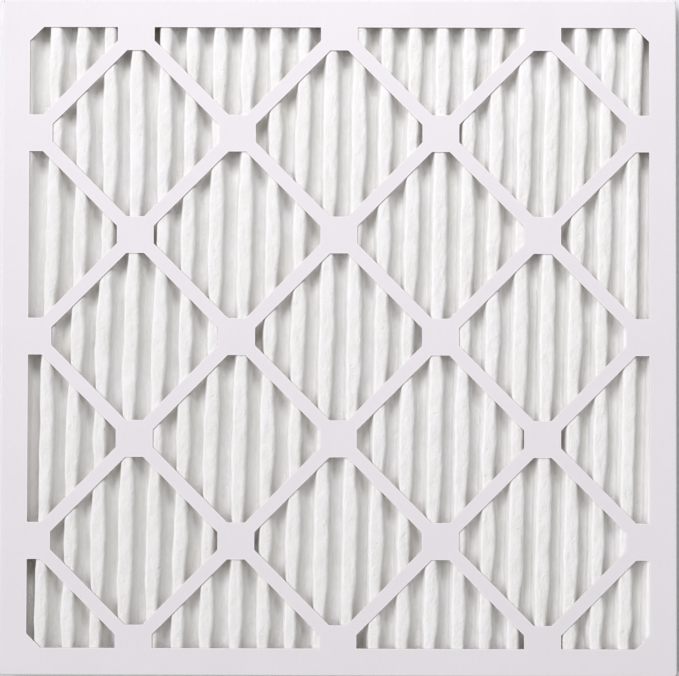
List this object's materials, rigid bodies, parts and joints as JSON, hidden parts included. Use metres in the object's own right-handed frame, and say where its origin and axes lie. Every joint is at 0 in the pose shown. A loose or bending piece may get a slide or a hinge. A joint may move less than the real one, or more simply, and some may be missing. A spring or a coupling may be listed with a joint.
{
  "type": "pleated panel air filter",
  "caption": "Square pleated air filter: a folded white card frame with a diagonal lattice over a deep-pleated white nonwoven sheet backed by a wire grid.",
  "frame": {"origin": "under the middle of the filter, on the plane of its air-leaving face", "axes": "+X across the pleats, +Y along the pleats, +Z out of the air-entering face"},
  "size_m": [0.4952, 0.4952, 0.0191],
  "materials": {
    "card": "clay-coated, satin",
    "nonwoven": "lofted nonwoven",
    "wire": "galvanised",
    "adhesive": "hot melt"
  },
  "bodies": {
    "root": {"front_frame": "card", "rear_frame": "card", "pleated_media": "nonwoven", "wire_backing": "wire", "head_seal": "adhesive", "foot_seal": "adhesive", "left_seal": "adhesive", "right_seal": "adhesive"}
  },
  "joints": []
}
